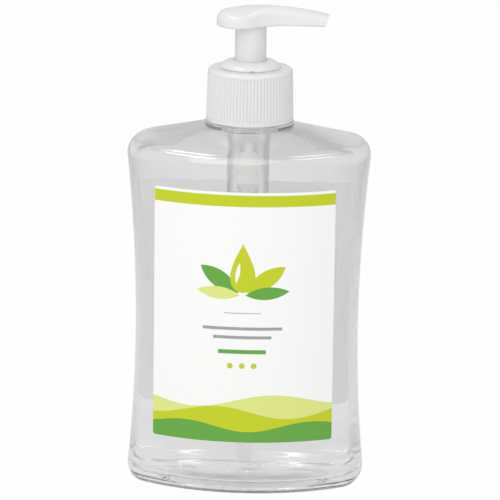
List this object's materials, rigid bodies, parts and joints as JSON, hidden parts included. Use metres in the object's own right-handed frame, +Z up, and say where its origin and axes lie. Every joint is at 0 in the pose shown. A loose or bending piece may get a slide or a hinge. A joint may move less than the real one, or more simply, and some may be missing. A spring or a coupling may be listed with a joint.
{
  "type": "pump oil bottle",
  "caption": "Clear oval bottle of oil with waisted sides, a hipped shoulder, paper labels and a white screw-on pump whose head presses down against a spring and swivels.",
  "frame": {"origin": "middle of the standing plane, under the centre of the bottle", "axes": "+Z up along the neck and pump, +X the way the spout points, -Y the way the front label faces"},
  "size_m": [0.0924, 0.0604, 0.1841],
  "materials": {
    "clear_plastic": "clear polished copolyester",
    "oil": "clear, nearly colourless oil",
    "label_paper": "white satin label",
    "white_plastic": "white satin polypropylene",
    "natural_plastic": "milky natural polypropylene",
    "soft_plastic": "soft polyethylene",
    "seal_foam": "white foamed polyethylene",
    "spring_steel": "stainless steel"
  },
  "bodies": {
    "bottle": {"bottle": "clear_plastic", "oil_fill": "oil", "front_label": "label_paper", "back_label": "label_paper"},
    "pump": {"pump_housing": "natural_plastic", "lock_collar": "white_plastic", "neck_gasket": "seal_foam", "ball_cage": "natural_plastic", "dip_tube": "natural_plastic", "spring": "spring_steel"},
    "closure": {"closure": "white_plastic"},
    "piston": {"piston": "soft_plastic"},
    "valve": {"valve_plug": "natural_plastic"},
    "actuator": {"actuator": "white_plastic", "stem": "natural_plastic"},
    "inlet_ball": {"inlet_ball": "spring_steel"}
  },
  "joints": [
    {"name": "pump_lift", "type": "slide", "parent": "bottle", "child": "pump", "axis": [0, 0, 1], "range_m": [0, 0.00634]},
    {"name": "closure_turn", "type": "hinge", "parent": "pump", "child": "closure", "pos_m": [0, 0, 0.15], "axis": [0, 0, 1], "range_deg": [0, 540.5]},
    {"name": "plunger_press", "type": "slide", "parent": "pump", "child": "piston", "axis": [0, 0, -1], "range_m": [0, 0.0105], "stiffness_N_per_m": 550, "springref_m": -0.008, "deforming": ["spring"]},
    {"name": "valve_open", "type": "slide", "parent": "piston", "child": "valve", "axis": [0, 0, -1], "range_m": [0, 0.001], "stiffness_N_per_m": 1000, "springref_m": -0.002},
    {"name": "head_swivel", "type": "hinge", "parent": "valve", "child": "actuator", "pos_m": [0, 0, 0.15], "axis": [0, 0, 1], "continuous": true},
    {"name": "ball_lift", "type": "slide", "parent": "pump", "child": "inlet_ball", "axis": [0, 0, 1], "range_m": [0, 0.0015]}
  ],
  "couplings": [
    {"joint": "closure_turn", "follows": "pump_lift", "rad_per_m": 1485.4}
  ]
}
